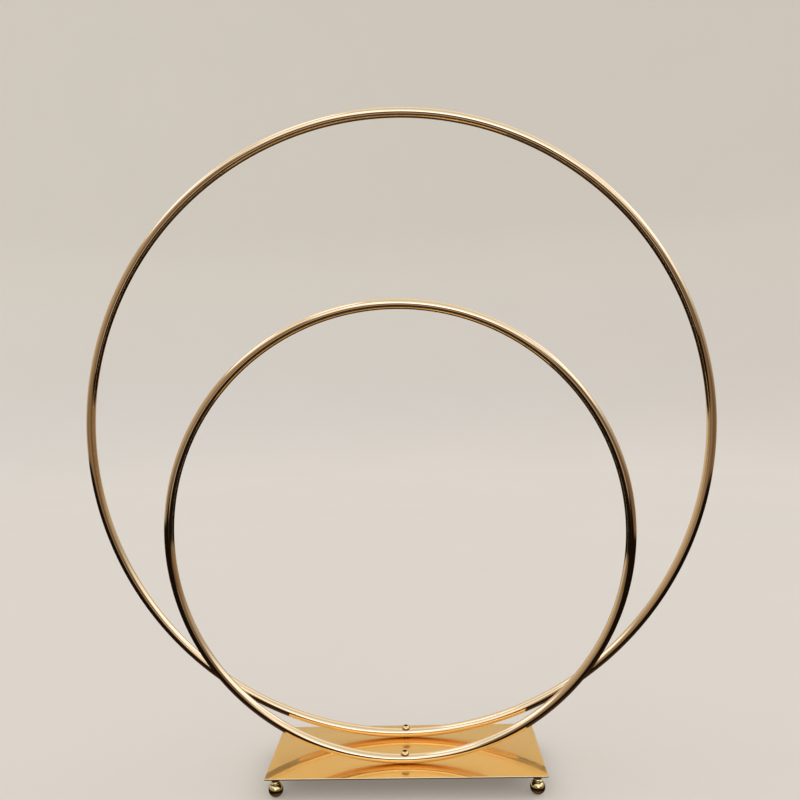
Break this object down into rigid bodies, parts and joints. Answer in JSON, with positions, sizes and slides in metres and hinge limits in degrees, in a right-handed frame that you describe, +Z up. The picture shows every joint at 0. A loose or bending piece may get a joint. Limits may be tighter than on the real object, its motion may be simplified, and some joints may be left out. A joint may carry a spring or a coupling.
{
  "type": "double-hoop wreath frame",
  "caption": "Free-standing floral frame: a large and a small tube hoop stand one behind the other on a polished plate with ball feet, and each turns about its fixing screw.",
  "frame": {"origin": "on the ground, under the middle of the base plate, which is also under the middle of both hoops", "axes": "+X to the right along the plate, +Y to the rear, from the small hoop to the large one, +Z up"},
  "size_m": [0.8, 0.14, 0.828],
  "materials": {
    "plate_gold": "mirror-polished gold plating on sheet steel",
    "hoop_gold": "polished champagne-gold plating on steel tube",
    "screw_gold": "gold-plated steel",
    "foot_brass": "turned and polished brass",
    "zinc_plated": "zinc-plated steel"
  },
  "bodies": {
    "stand": {"base_plate": "plate_gold", "foot_front_left": "foot_brass", "foot_front_right": "foot_brass", "foot_rear_left": "foot_brass", "foot_rear_right": "foot_brass", "stud_front_left": "zinc_plated", "stud_front_right": "zinc_plated", "stud_rear_left": "zinc_plated", "stud_rear_right": "zinc_plated", "large_hoop_screw": "screw_gold", "large_hoop_washer": "zinc_plated", "large_hoop_nut": "zinc_plated", "small_hoop_screw": "screw_gold", "small_hoop_washer": "zinc_plated", "small_hoop_nut": "zinc_plated"},
    "large_ring": {"large_hoop": "hoop_gold"},
    "small_ring": {"small_hoop": "hoop_gold"}
  },
  "joints": [
    {"name": "large_hoop_turn", "type": "hinge", "parent": "stand", "child": "large_ring", "pos_m": [0, 0.035, 0.0277], "axis": [0, 0, 1], "range_deg": [-10, 10]},
    {"name": "small_hoop_turn", "type": "hinge", "parent": "stand", "child": "small_ring", "pos_m": [0, -0.035, 0.0277], "axis": [0, 0, 1], "range_deg": [-15, 15]}
  ]
}
